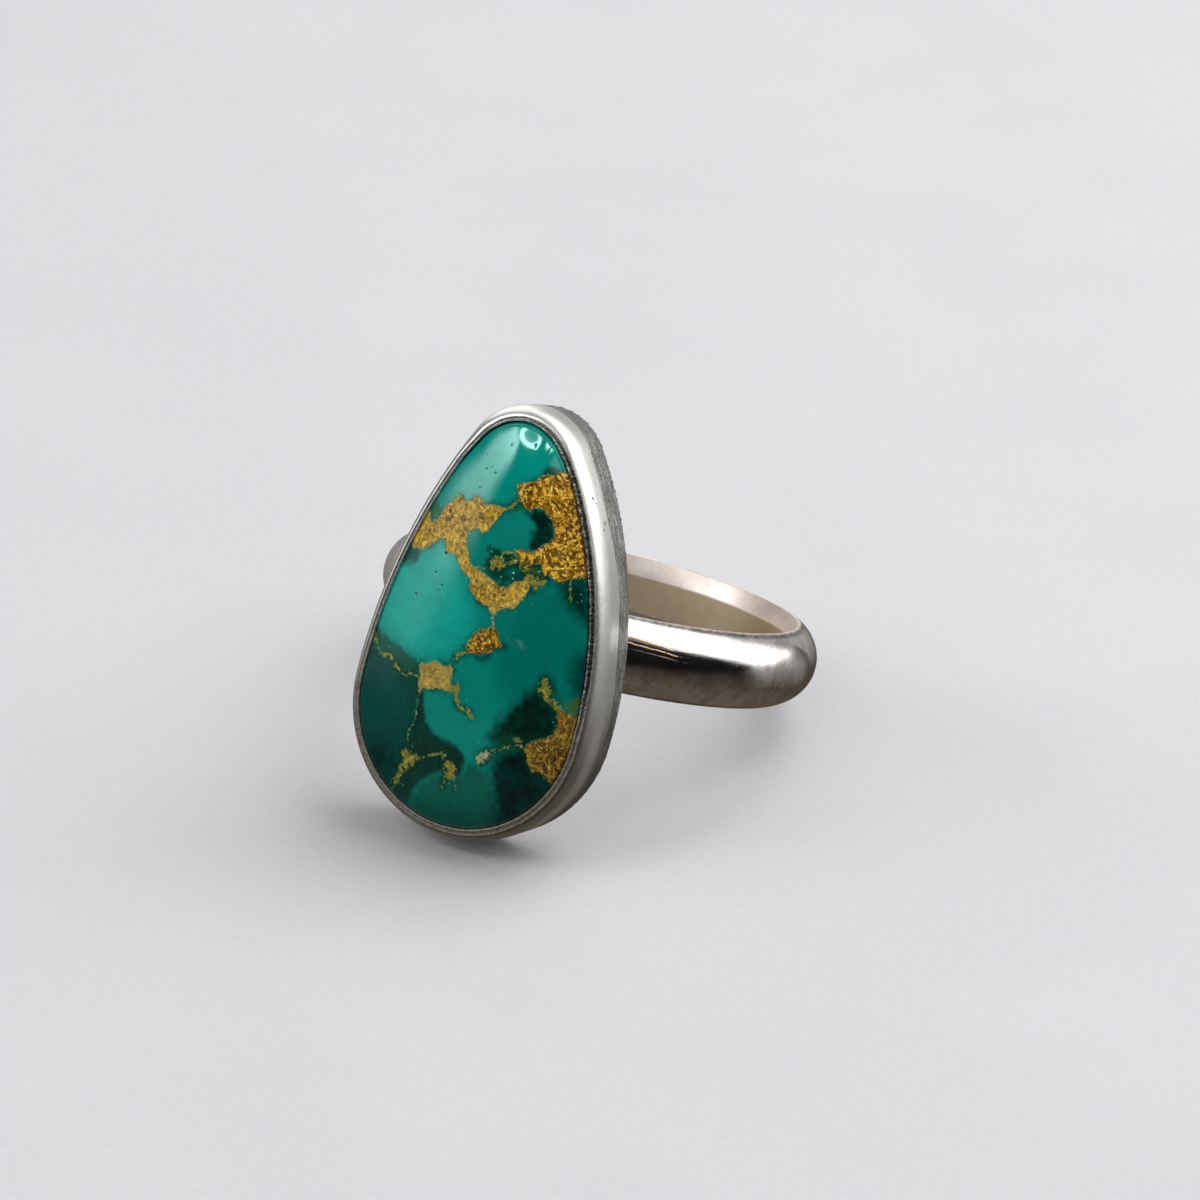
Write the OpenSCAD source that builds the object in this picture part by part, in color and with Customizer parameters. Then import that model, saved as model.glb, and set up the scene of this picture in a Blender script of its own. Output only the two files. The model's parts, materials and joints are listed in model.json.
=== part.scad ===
// Ring with an egg-shaped turquoise cabochon in a plain bezel on a half-round band.
// It lies on a table: the big end of the bezel and the back of the band touch z = 0.
// X runs along the width of the setting, the stone faces -Y, Z is up.

/* [Band] */
// Inner diameter, which is the finger size
finger_d = 18.2; // [15:0.1:21]
// Thickness of the band at its crown
band_t = 1.5; // [1.2:0.05:2.2]
// Width of the band along the finger
band_w = 3.65; // [3:0.05:5]
// Thickness left at the two edges of the half-round band
band_edge_t = 0.3; // [0.2:0.05:0.8]

/* [Stone outline] */
// Radius of the big lower end
big_r = 5.45; // [4.5:0.05:6.5]
// Radius of the small upper end
tip_r = 2.4; // [1.8:0.05:3.5]
// Distance between the centres of the two ends
end_span = 11.15; // [9:0.05:13]
// Radius of the fuller flank, on the right as the stone is looked at
full_flank_r = 20.2; // [16:0.1:30]
// Radius of the straighter flank
flat_flank_r = 27.5; // [20:0.1:60]
// Turn of the egg's long axis, seen from the front
egg_turn = 1.3; // [-4:0.1:4]
// How far the egg sits to the side of the band's centre
egg_side = 0.5; // [-1:0.05:1]
// How far the middle of the span lies above the band's centre
egg_rise = 2; // [0:0.05:3]

/* [Setting] */
// Depth of the setting from its back to the rim
setting_d = 3.4; // [2.8:0.05:4.2]
// Thickness of the back plate
plate_t = 0.8; // [0.6:0.05:1.2]
// How far the band is let into the back plate's solder seat
seat = 0.2; // [0.1:0.05:0.4]
// Reach of the wall beyond the stone at its widest
wall_reach = 0.62; // [0.5:0.02:0.8]
// Reach of the wall beyond the stone at the back
back_reach = 0.5; // [0.4:0.02:0.7]
// Flat land of the lip next to the stone
lip_land = 0.15; // [0.1:0.01:0.25]
// Depth at which the rounded shoulder starts
shoulder_at = 2.3; // [2:0.05:2.5]

/* [Stone] */
// Rise of the cabochon above the rim
dome_h = 1.25; // [0.8:0.05:2]
// Gap between stone and silver
stone_gap = 0.03; // [0.02:0.01:0.06]
// Widening of the stone from the rim down to its base
stone_flare = 0.1; // [0.05:0.01:0.15]

/* [Rest pose] */
// Lean to the side, as the ring lies by itself
rest_lean = 0.4; // [-2:0.1:2]

/* [Hidden] */
$fn = 144;

// Band, in the ring's own frame: z is the finger axis, y points away from the stone
bore_r = finger_d / 2;
band_r = bore_r + band_t;
crown_sag = band_t - band_edge_t;
crown_r = (pow(band_w / 2, 2) + pow(crown_sag, 2)) / (2 * crown_sag);
back_y = -(band_r - seat);

// Egg outline of four tangent arcs, in a plane with x to the right and z up
axis_dir = [-sin(egg_turn), cos(egg_turn)];
side_dir = [axis_dir[1], -axis_dir[0]];
egg_mid = [egg_side, egg_rise];
big_c = egg_mid - axis_dir * end_span / 2;
tip_c = egg_mid + axis_dir * end_span / 2;

function flank_centre(flank_r, side) =
    let (
        to_big = flank_r - big_r,
        to_tip = flank_r - tip_r,
        along = (pow(to_big, 2) - pow(to_tip, 2) + pow(end_span, 2)) / (2 * end_span),
        across = sqrt(pow(to_big, 2) - pow(along, 2))
    )
    big_c + axis_dir * along - side_dir * side * across;

function heading(from, to) = atan2(to[1] - from[1], to[0] - from[0]);
function sweep(start, stop) = (stop - start + 720) % 360;

full_c = flank_centre(full_flank_r, 1);
flat_c = flank_centre(flat_flank_r, -1);

// Each arc: centre, radius, start angle, swept angle
CENTRE = 0;
RADIUS = 1;
START = 2;
SWEPT = 3;
full_start = heading(full_c, big_c);
tip_start = heading(full_c, tip_c);
flat_start = heading(flat_c, tip_c);
big_start = heading(flat_c, big_c);
ARCS = [
    [full_c, full_flank_r, full_start, sweep(full_start, tip_start)],
    [tip_c, tip_r, tip_start, sweep(tip_start, flat_start)],
    [flat_c, flat_flank_r, flat_start, sweep(flat_start, big_start)],
    [big_c, big_r, big_start, sweep(big_start, full_start)],
];

function polar(r, a) = r * [cos(a), sin(a)];

// Outline points, so many degrees apart on the ends and evenly on the flanks
END_STEP = 5;
FLANK_STEPS = 10;
function arc_steps(arc) = max(ceil(arc[SWEPT] / END_STEP), FLANK_STEPS);
function outline(grow) = [
    for (arc = ARCS, i = [0:arc_steps(arc) - 1])
        arc[CENTRE] + polar(arc[RADIUS] + grow, arc[START] + arc[SWEPT] * i / arc_steps(arc))
];
function ring_at(grow, depth) = [for (p = outline(grow)) [p[0], p[1], depth]];

// Section of the setting from the back, round the shoulder and down into the pocket:
// reach beyond the stone's rim line, depth from the back
edge_break = 0.1;
SHOULDER_STEPS = 6;
CUP_SECTION = concat(
    [[back_reach - edge_break, 0], [back_reach, edge_break]],
    [
        for (i = [0:SHOULDER_STEPS])
            let (a = 90 * i / SHOULDER_STEPS)
            [
                lip_land + (wall_reach - lip_land) * cos(a),
                shoulder_at + (setting_d - shoulder_at) * sin(a),
            ]
    ],
    [[0, setting_d], [stone_flare, plate_t]]
);

// Reach of the stone at its base and at the rim
base_reach = stone_flare - stone_gap;
rim_reach = -stone_gap;

// Closed solid lofted through rings of equal length, first and last ring capped
module loft(rings) {
    n = len(rings[0]);
    m = len(rings);
    sides = [
        for (j = [0:m - 2], i = [0:n - 1])
            [j * n + i, (j + 1) * n + i, (j + 1) * n + (i + 1) % n, j * n + (i + 1) % n]
    ];
    first_cap = [for (i = [0:n - 1]) i];
    last_cap = [for (i = [n - 1:-1:0]) (m - 1) * n + i];
    polyhedron([for (ring = rings, p = ring) p], concat([first_cap], sides, [last_cap]));
}

// Puts a solid with its depth along z behind the stone's face
module on_face() {
    translate([0, back_y, 0]) rotate([90, 0, 0]) children();
}

// Half-round band, turned round the finger axis
module band() {
    rotate_extrude()
        intersection() {
            translate([band_r - crown_r, 0]) circle(crown_r);
            translate([bore_r, -band_w / 2]) square([band_t, band_w]);
        }
}

// The ring touches the table at the band's low back edge and the setting's low back edge
band_edge = [bore_r + band_edge_t, -band_w / 2];
cup_edge = [back_y - edge_break, big_c[1] - big_r - back_reach];
rest_tilt = atan2(band_edge[1] - cup_edge[1], band_edge[0] - cup_edge[0]);
drop = band_edge[0] * sin(rest_tilt) - band_edge[1] * cos(rest_tilt);

// Reach to the front and the back once tilted, which centres the part on the origin
front_y = min([
    for (row = CUP_SECTION)
        (back_y - row[1]) * cos(rest_tilt) + (big_c[1] - big_r - row[0]) * sin(rest_tilt)
]);
rear_y = (band_r - crown_r) * cos(rest_tilt) + crown_r;
centring = -(front_y + rear_y) / 2;

// Lays the ring down as it rests on a table
module at_rest() {
    translate([0, centring, drop]) rotate([0, rest_lean, 0]) rotate([-rest_tilt, 0, 0])
        children();
}

// Band, back plate and bezel wall, soldered into one piece of silver
module silver_mount() {
    color([0.8, 0.79, 0.77])
        at_rest() {
            band();
            on_face() loft([for (row = CUP_SECTION) ring_at(row[0], row[1])]);
        }
}

// Cabochon: flared sides under the bezel's lip and a low dome above it
DOME_STEPS = 9;
DOME_POWER = 2.4;
DOME_TOP = 0.06;
function dome_ring(k) = [
    for (p = outline(rim_reach))
        [
            egg_mid[0] + (p[0] - egg_mid[0]) * k,
            egg_mid[1] + (p[1] - egg_mid[1]) * k,
            setting_d + dome_h * (1 - pow(k, DOME_POWER)),
        ]
];
module stone() {
    color([0.05, 0.55, 0.5])
        at_rest() on_face() loft(concat(
            [ring_at(base_reach, plate_t + stone_gap)],
            [for (i = [0:DOME_STEPS]) dome_ring(max(cos(90 * i / DOME_STEPS), DOME_TOP))]
        ));
}

silver_mount();
stone();
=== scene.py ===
import json
import math

import bpy
import numpy as np
from mathutils import Matrix, Vector


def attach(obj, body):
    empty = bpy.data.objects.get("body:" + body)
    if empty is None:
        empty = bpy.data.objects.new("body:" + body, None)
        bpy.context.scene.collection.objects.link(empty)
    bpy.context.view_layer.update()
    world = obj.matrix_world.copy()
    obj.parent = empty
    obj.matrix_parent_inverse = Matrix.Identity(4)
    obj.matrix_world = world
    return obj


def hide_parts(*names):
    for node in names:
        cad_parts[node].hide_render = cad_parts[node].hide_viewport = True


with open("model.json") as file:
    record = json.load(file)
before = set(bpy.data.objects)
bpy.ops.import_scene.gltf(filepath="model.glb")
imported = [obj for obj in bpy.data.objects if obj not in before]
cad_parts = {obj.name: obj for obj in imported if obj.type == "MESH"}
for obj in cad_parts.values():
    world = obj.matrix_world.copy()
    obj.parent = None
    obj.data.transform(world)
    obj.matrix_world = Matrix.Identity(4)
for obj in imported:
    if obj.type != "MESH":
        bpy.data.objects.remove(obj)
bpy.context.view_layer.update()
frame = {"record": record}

# Silver ring with an egg-shaped turquoise cabochon. Lengths are in millimetres in the ring's
# own frame unless a name says otherwise: x to the right of the stone's face, y away from the
# stone, z along the finger. place() turns them into metres where the ring lies.

MM = 0.001
FULL_TURN = 2 * math.pi

# Frame: where the finger hole is and how the ring lies
BORE = next(m for m in frame["record"]["mounts"] if m["name"] == "finger_bore")
BORE_R = BORE["dims"]["r_mm"]
BAND_W = BORE["dims"]["length_mm"]
FINGER_AXIS = Vector(BORE["axis"])
TILT = math.asin(FINGER_AXIS.y)
LEAN = math.atan2(FINGER_AXIS.x, FINGER_AXIS.z)
TURN = np.array(Matrix.Rotation(LEAN, 3, "Y") @ Matrix.Rotation(-TILT, 3, "X"))
CENTRE = np.array(BORE["pos_m"])

# Band
BAND_T = 1.5
EDGE_T = 0.3
BEVEL_W = 0.95
BEVEL_T = 0.2
BAND_R = BORE_R + BAND_T
SEAT = 0.2
BACK_Y = -(BAND_R - SEAT)

# Egg outline: two round ends joined by two flank arcs
BIG_R = 5.45
TIP_R = 2.4
SPAN = 11.15
FULL_FLANK_R = 20.2
FLAT_FLANK_R = 27.5
EGG_TURN = math.radians(1.3)
EGG_MID = np.array([0.5, 2.0])

# Setting and stone
SETTING_D = 3.4
PLATE_T = 0.8
DOME_H = 1.25
DOME_POWER = 2.4
STONE_GAP = 0.03

# Camera, solved from the outlines in the photograph
CAMERA_AT = (0.0953113, -0.1846851, 0.1186207)
CAMERA_RIGHT = (0.87609, 0.47884, 0.05637)
CAMERA_UP = (-0.2703, 0.39097, 0.87982)
CAMERA_BACK = (0.39925, -0.78604, 0.47196)
LENS_MM = 150
SENSOR_MM = 36


def place(points):
    """Points in the ring's own frame, in millimetres, as metres where the ring lies."""
    return np.asarray(points) @ TURN.T * MM + CENTRE


def ease(low, high, value):
    """0 up to low, 1 from high on, and a smooth rise between."""
    t = np.clip((value - low) / (high - low), 0, 1)
    return t * t * (3 - 2 * t)


def srgb(red, green, blue):
    """Linear colour from screen values of 0 to 255."""
    c = np.array([red, green, blue]) / 255
    return np.where(c <= 0.04045, c / 12.92, ((c + 0.055) / 1.055) ** 2.4)


def table(text):
    """Rows of numbers from text with a comma between the rows."""
    return np.array([[float(word) for word in row.split()] for row in text.split(",")])


# Wobbles that hand work leaves


def wobble(angle, seed, low, high, count=9):
    """Sum of waves round a closed loop, between about -1 and 1."""
    draw = np.random.RandomState(seed)
    total = np.zeros_like(angle)
    for _ in range(count):
        waves = draw.randint(low, high + 1)
        total += np.sin(waves * angle + draw.uniform(0, FULL_TURN))
    return total / math.sqrt(count)


def ripple(x, z, seed, wavelength, count=14):
    """Sum of waves over a plane, between about -1 and 1."""
    draw = np.random.RandomState(seed)
    total = np.zeros_like(x)
    for _ in range(count):
        heading = draw.uniform(0, FULL_TURN)
        step = FULL_TURN / (wavelength * draw.uniform(0.7, 1.5))
        along = x * math.cos(heading) + z * math.sin(heading)
        total += np.sin(step * along + draw.uniform(0, FULL_TURN))
    return total / math.sqrt(count)


# Egg outline

AXIS_DIR = np.array([-math.sin(EGG_TURN), math.cos(EGG_TURN)])
SIDE_DIR = np.array([AXIS_DIR[1], -AXIS_DIR[0]])
BIG_C = EGG_MID - AXIS_DIR * SPAN / 2
TIP_C = EGG_MID + AXIS_DIR * SPAN / 2


def flank_centre(flank_r, side):
    to_big = flank_r - BIG_R
    to_tip = flank_r - TIP_R
    along = (to_big ** 2 - to_tip ** 2 + SPAN ** 2) / (2 * SPAN)
    across = math.sqrt(to_big ** 2 - along ** 2)
    return BIG_C + AXIS_DIR * along - SIDE_DIR * side * across


def egg_arcs():
    """Centre, radius, start angle and swept angle of each arc, anticlockwise."""
    full_c = flank_centre(FULL_FLANK_R, 1)
    flat_c = flank_centre(FLAT_FLANK_R, -1)
    # Centre and radius of each arc, and the direction in which it starts
    arcs = [
        (full_c, FULL_FLANK_R, BIG_C - full_c), (TIP_C, TIP_R, TIP_C - full_c),
        (flat_c, FLAT_FLANK_R, TIP_C - flat_c), (BIG_C, BIG_R, BIG_C - flat_c),
    ]
    starts = [math.atan2(way[1], way[0]) for _, _, way in arcs]
    ends = starts[1:] + starts[:1]
    return [
        (centre, radius, start, (end - start) % FULL_TURN)
        for (centre, radius, _), start, end in zip(arcs, starts, ends)
    ]


def egg_points(count):
    """Points evenly round the egg, and the outward direction at each."""
    arcs = egg_arcs()
    lengths = np.array([radius * swept for _, radius, _, swept in arcs])
    ends = np.cumsum(lengths)
    points, outward = [], []
    for distance in np.arange(count) * ends[-1] / count:
        which = int(np.searchsorted(ends, distance, side="right"))
        centre, radius, start, _ = arcs[which]
        angle = start + (distance - (ends[which] - lengths[which])) / radius
        outward.append(np.array([math.cos(angle), math.sin(angle)]))
        points.append(centre + radius * outward[-1])
    return np.array(points), np.array(outward)


# Mesh making


def grid_faces(rings, around, closed_rings=False):
    """Quads between rings of equal length, each ring closed."""
    last = rings if closed_rings else rings - 1
    row = np.arange(last)[:, None] * around
    following = (np.arange(last)[:, None] + 1) % rings * around
    here = np.arange(around)[None, :]
    ahead = (here + 1) % around
    quads = np.stack([row + here, row + ahead, following + ahead, following + here], -1)
    return quads.reshape(-1, 4)


def shell_faces(rings, around):
    """Faces of rings that two more points close, before the first ring and after the last."""
    here = np.arange(around)
    ahead = (here + 1) % around
    last = (rings - 1) * around
    first_tip = np.full(around, rings * around)
    return [
        grid_faces(rings, around),
        np.stack([ahead, here, first_tip], -1),
        np.stack([last + here, last + ahead, first_tip + 1], -1),
    ]


def add_object(name, data):
    made = bpy.data.objects.new(name, data)
    bpy.context.scene.collection.objects.link(made)
    return made


def make_mesh(name, points, faces, attributes):
    """Smooth mesh from points in metres, with values kept at its points."""
    mesh = bpy.data.meshes.new(name)
    mesh.from_pydata(points.tolist(), [], [f.tolist() for part in faces for f in part])
    mesh.validate()
    mesh.polygons.foreach_set("use_smooth", [True] * len(mesh.polygons))
    for label, values in attributes.items():
        values = np.asarray(values, float)
        kind, field = ("FLOAT", "value") if values.ndim == 1 else ("FLOAT_VECTOR", "vector")
        layer = mesh.attributes.new(label, kind, "POINT")
        layer.data.foreach_set(field, values.ravel())
    mesh.update()
    return add_object(name, mesh)


def soften(corners, radius, steps):
    """Closed outline with each corner cut back by up to radius and rounded."""
    rounded = []
    for i, corner in enumerate(corners):
        ends = []
        for neighbour in (corners[i - 1], corners[(i + 1) % len(corners)]):
            side = neighbour - corner
            length = np.linalg.norm(side)
            ends.append(corner + side / length * min(radius, length * 0.45))
        for t in np.linspace(0, 1, steps):
            rounded.append((1 - t) ** 2 * ends[0] + 2 * t * (1 - t) * corner + t * t * ends[1])
    return np.array(rounded)


# Band

CROWN_SAG = BAND_T - EDGE_T
CROWN_R = ((BAND_W / 2) ** 2 + CROWN_SAG ** 2) / (2 * CROWN_SAG)
CROWN_C = BAND_R - CROWN_R
BAND_AROUND = 540
BAND_CROWN_STEPS = 34
BORE_STEPS = 10
EDGE_ROUND = 0.07
EDGE_STEPS = 4


def band_section():
    """Radius and place along the finger, round the half-round section."""
    half = BAND_W / 2
    open_r = BORE_R + BEVEL_T
    bore = [(BORE_R, z) for z in np.linspace(-half + BEVEL_W, half - BEVEL_W, BORE_STEPS)]
    reach = math.asin(half / CROWN_R)
    crown = [
        (CROWN_C + CROWN_R * math.cos(a), CROWN_R * math.sin(a))
        for a in np.linspace(reach, -reach, BAND_CROWN_STEPS)
    ]
    corners = np.array(bore + [(open_r, half)] + crown + [(open_r, -half)])
    return soften(corners, EDGE_ROUND, EDGE_STEPS)


FILLET = 0.9


def fillet_rise(gap):
    """How far the solder lifts a surface that lies this far from the other one."""
    return FILLET / 4 * np.clip(1 - np.abs(gap) / FILLET, 0, 1) ** 2


def crown_gap(points):
    """Distance of points outside the band's rounded crown, negative inside it."""
    radius = np.hypot(points[..., 0], points[..., 1])
    return np.hypot(radius - CROWN_C, points[..., 2]) - CROWN_R


# Scratches beside the setting, which carry a painted golden glint of warm light: angle round the
# band and height where they start and end
STREAKS_FROM = (-61, 0.84)
STREAKS_TO = (-41, 0.56)
STREAKS_HALF_W = 0.24


def streaked(degrees, height, inside):
    """Zone of scratches with a painted golden glint on the outside of the band, and the place
    across it.
    """
    around = (degrees + 180) % 360 - 180
    share = (around - STREAKS_FROM[0]) / (STREAKS_TO[0] - STREAKS_FROM[0])
    middle = STREAKS_FROM[1] + share * (STREAKS_TO[1] - STREAKS_FROM[1])
    across = (height - middle) / STREAKS_HALF_W
    zone = ease(1.2, 0.8, np.abs(across)) * ease(0.0, 0.08, share) * ease(1.0, 0.8, share)
    return zone * (1 - inside), np.clip(across, -3, 3)


def spun(radius, angle, height):
    """Points at a radius and angle round the finger."""
    return np.stack([radius * np.cos(angle), radius * np.sin(angle), height], -1)


def build_band():
    section = band_section()
    angle = np.arange(BAND_AROUND) * FULL_TURN / BAND_AROUND
    radius, width = (section[:, part][:, None] + 0 * angle for part in (0, 1))
    radius = radius + 0.012 * wobble(angle, 3, 2, 9) * ease(BORE_R, BAND_R, radius)
    points = spun(radius, angle, width)
    from_crown = spun(radius - CROWN_C, angle, width)
    from_crown /= np.linalg.norm(from_crown, axis=-1, keepdims=True)
    to_plate = points[..., 1] - BACK_Y
    lift = fillet_rise(to_plate) * ease(BORE_R + 0.35, BORE_R + 0.7, radius) * (to_plate < FILLET)
    points = (points + from_crown * lift[..., None]).reshape(-1, 3)
    faces = [grid_faces(len(section), BAND_AROUND, closed_rings=True)[:, ::-1]]
    inside = ease(BORE_R + 0.45, BORE_R + 0.2, radius)
    from_edge = BAND_W / 2 - np.abs(width)
    streaks, across = streaked(np.degrees(angle), width, inside)
    values = {
        "inside": inside,
        "bevel": inside * ease(BEVEL_W + 0.04, BEVEL_W - 0.06, from_edge),
        "edge": ease(0.35, 0.05, from_edge),
        "streaks": streaks,
        "across_streaks": across,
        "solder": ease(0.02, 0.16, lift),
    }
    attributes = {name: value.ravel() for name, value in values.items()}
    return make_mesh("silver_band", place(points), faces, {"grain": points, **attributes})


# Setting: back plate, sanded edge, rounded wall and burnished lip

SETTING_AROUND = 760
GAP_FROM = math.radians(79)
GAP_TO = math.radians(118)
LIP_REACH = 0.2
LIP_WIDENS = 0.12
STRIP_TOP = 1.28
PLATE_REACH = 0.385
STRIP_REACH = 0.503
TIP_INSET = 0.17
TIP_AT = 92
# Shoulder: where the straight wall ends, and the quarter round that follows it
WALL_TOP = 2.1
WALL_REACH = 0.6
SHOULDER_FROM = 2.3
SHOULDER_H = 1.08
SHOULDER_REACH = 0.62
LIP_TOP = 3.375
GROOVE_D = 0.05


def round_the_egg(outline):
    """Angle of each outline point, seen from the middle of the egg."""
    return np.arctan2(outline[:, 1] - EGG_MID[1], outline[:, 0] - EGG_MID[0])


def open_gap(angle):
    """1 where a dark groove shows between lip and stone, which is round the tip."""
    return ease(GAP_FROM - 0.02, GAP_FROM + 0.01, angle) * ease(GAP_TO + 0.12, GAP_TO - 0.1, angle)


def toward_right(angle):
    """0 on the left of the setting, 1 on its right."""
    return ease(-0.3, 0.5, np.cos(angle))


def below(angle):
    """1 round the setting's foot, where the lip is pressed down on the stone."""
    return ease(-0.45, -0.8, np.sin(angle))


def near_tip(angle):
    """1 round the upper end of the setting, 0 from its flanks down."""
    return ease(0.35, 0.85, np.sin(angle))


def strip_top(angle):
    """Depth at which the sanded strip ends; it is broader at the tip, narrower at the foot."""
    return STRIP_TOP + 0.42 * near_tip(angle) - 0.45 * ease(-0.2, -0.8, np.sin(angle))


def sanded_share(angle):
    """1 where the strip is sanded, 0 round the left of the foot, where the wall is satin."""
    return ease(-0.5, -0.05, np.sin(angle) + 0.9 * ease(-0.2, 0.3, np.cos(angle)))


def tip_inset(angle):
    """How much further in the lip lies over the stone's tip."""
    return TIP_INSET * ease(27, 10, np.abs(np.degrees(angle) - TIP_AT))


# Rows across the lip, from outside in: share of its reach, extra reach where the gap is open,
# fall below the top, share of the groove's depth, sideways and upward share of the wander
LIP_ROWS = table("""
1.2 0 .003 0 .3 .2, 1.08 0 0 0 .5 .35, 1 0 .009 .4 .7 .3, .92 0 .015 1 1 .5, .76 0 .02 1 1 .9,
.6 0 .015 .9 1 1, .5 0 .003 .3 1 .8, .42 0 -.011 0 .9 .7, .32 .01 -.009 0 1 1, .22 .02 .005 0 1 1,
.12 .03 .04 0 .8 .6
""")


def wall_sections(angle):
    """Reach and depth of each row of the setting, from the back plate's edge into the pocket."""
    gap = open_gap(angle)
    foot = below(angle)
    rough = 0.4 + 0.6 * toward_right(angle)
    jog = rough * (0.012 * wobble(angle, 11, 12, 50) + 0.014 * wobble(angle, 12, 120, 330))
    chip = rough * (0.012 * wobble(angle, 13, 25, 90) + 0.018 * wobble(angle, 14, 120, 350))
    crease = 0.012 * wobble(angle, 15, 6, 30)
    file_marks = 0.003 * wobble(angle, 16, 60, 240) * sanded_share(angle)
    top = strip_top(angle)
    flare = 0.03 * near_tip(angle)
    burr = (0.009 + 0.02 * near_tip(angle)) * wobble(angle, 17, 90, 330)
    rows = [(PLATE_REACH, 0)]
    for reach, depth, share in ((0.43, 0.012, 0.4), (0.472, 0.045, 0.8), (0.494, 0.095, 1)):
        rows.append((reach + (flare + burr) * share, depth))
    rows.append((STRIP_REACH + flare + burr, 0.16))
    for share in np.linspace(0.24, 0.95, 7):
        wander = file_marks + burr * 0.6 * (1 - share)
        rows.append((STRIP_REACH + flare + 0.04 * share * top + wander, share * top))
    reach = STRIP_REACH + flare + 0.04 * top
    rows.append((reach + crease * 0.2, top + crease))
    for out, deeper, share in ((0.008, 0.04, 1), (0.015, 0.09, 1), (0.02, 0.15, 0.5)):
        rows.append((reach + out, top + deeper + crease * share))
    for share in np.linspace(0.3, 1, 5):
        outward = (WALL_REACH - reach) * share
        rows.append((reach + 0.02 + outward, top + 0.15 + (WALL_TOP - top) * share))
    lip = LIP_REACH + LIP_WIDENS * toward_right(angle)
    start = -tip_inset(angle)
    for a in np.radians(np.linspace(4, 78, 20)):
        inner = lip + start * ease(0.3, 1.0, math.sin(a))
        out = (SHOULDER_REACH - inner) * math.cos(a)
        rows.append((inner + out, SHOULDER_FROM + SHOULDER_H * math.sin(a)))
    jog = jog * (1 - 0.6 * foot)
    chip = chip * (1 - 0.75 * foot)
    for share, beyond, fall, cut, sideways, upward in LIP_ROWS:
        drop = (1 - 0.9 * foot) * (fall + GROOVE_D * rough * cut)
        reach = start + lip * share + beyond * gap + jog * sideways
        rows.append((reach, LIP_TOP - drop + chip * upward))
    rows.append((start + 0.035 * gap + jog * 0.5, 3.27))
    rows.append((start + 0.045 * gap, 3.2))
    return rows + [(0.01 + 0.04 * gap, 3.1), (0.02, 2.6), (0.1, PLATE_T)]


# Small pits in the wall on the right: height on the face, depth from the back, radius
POCKS = table("6.25 2.05 .06, 6 2.25 .045, 7.3 2.75 .05, 7.1 2.6 .035")


def pocks(points):
    """1 in the wall's small pits."""
    depth = BACK_Y - points[:, 1]
    found = [
        ease(size * 1.5, size * 0.5, np.hypot(points[:, 2] - height, depth - at))
        for height, at, size in POCKS
    ]
    return np.max(found, axis=0) * (points[:, 0] > EGG_MID[0])


def at_depth(flat, depth):
    """Points of a flat outline, laid at a depth from the setting's back."""
    return np.column_stack([flat[:, 0], BACK_Y - depth + 0 * flat[:, 0], flat[:, 1]])


def toward_middle(outline, share):
    return EGG_MID + (outline - EGG_MID) * share


def with_ends(rows, first_depth, last_depth):
    """All points of the rows, and a middle point for the first row and the last."""
    ends = at_depth(np.array([EGG_MID, EGG_MID]), np.array([first_depth, last_depth]))
    return np.vstack([np.reshape(rows, (-1, 3)), ends])


def build_setting():
    outline, outward = egg_points(SETTING_AROUND)
    angle = round_the_egg(outline)
    rim = outline + PLATE_REACH * outward
    rows = [at_depth(toward_middle(rim, share), 0) for share in np.linspace(0.03, 1, 42)[:-1]]
    back_count = len(rows)
    reaches = [np.full(SETTING_AROUND, -1.0)] * back_count
    for reach, depth in wall_sections(angle):
        reaches.append(reach + 0 * angle)
        rows.append(at_depth(outline + reaches[-1][:, None] * outward, depth))
    for share in (0.7, 0.4, 0.1):
        reaches.append(0 * angle)
        rows.append(at_depth(toward_middle(outline + 0.1 * outward, share), PLATE_T))
    rows = np.array(rows)
    lift = np.zeros(rows.shape[:2])
    lift[:back_count] = fillet_rise(crown_gap(rows[:back_count]))
    rows[..., 1] += lift
    points = with_ends(rows, 0, PLATE_T)
    depth = BACK_Y - points[:, 1]
    reach = np.append(reaches, [-1.0, 0.0])
    around = np.append(np.tile(angle, len(rows)), [0.0, 0.0])
    front = np.arange(len(points)) >= back_count * SETTING_AROUND
    front[-2] = False
    right = toward_right(around)
    foot = below(around)
    share = (reach + tip_inset(around)) / (LIP_REACH + LIP_WIDENS * right)
    high = ease(3.2, 3.3, depth)
    strip = ease(0.02, 0.12, depth) * ease(-0.05, 0.02, strip_top(around) - depth)
    fin = ease(0.58, 0.48, share) * high * (1 - 0.9 * foot)
    groove_end = 0.72 + 0.32 * right
    groove = ease(0.46, 0.58, share) * ease(groove_end, groove_end - 0.1, share) * high
    groove *= 1 - 0.95 * foot
    lip = ease(1.6, 1.25, share) * ease(3.1, 3.25, depth)
    # Pocket wall under the lip, which gets the groove's painted shade
    pocket_shade = ease(3.3, 3.2, depth) * (reach < 0.15) * (depth > 0.5)
    attributes = {
        "grain": points[:, [0, 2, 1]],
        "strip": strip * sanded_share(around) * front,
        "back": ~front,
        "fin": fin * front * (0.4 + 0.6 * right),
        "lip": lip * front * np.maximum(foot, 0.5 * right),
        "groove": np.maximum(groove * front, pocket_shade),
        # Where the wall round the foot gets painted shade along its edges
        "foot": foot * ease(-0.2, 0.3, np.cos(around)) * front,
        "up_wall": ease(0.9, 3.1, depth),
        "solder": np.append(ease(0.02, 0.16, lift), [0, 0]),
        "pocks": pocks(points),
    }
    faces = shell_faces(len(rows), SETTING_AROUND)
    return make_mesh("silver_setting", place(points), faces, attributes)


# Stone chart: outlines drawn on the stone's face, x to the right and z up


def outlines(text, usual_look=()):
    """Look and points of each outline, whose points are in hundredths of a millimetre."""
    found = []
    for entry in text.split(";"):
        head, points = entry.split(":")
        look = [float(number) for number in head.split()[1:]]
        found.append((look or usual_look, table(points) / 100))
    return found
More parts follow.
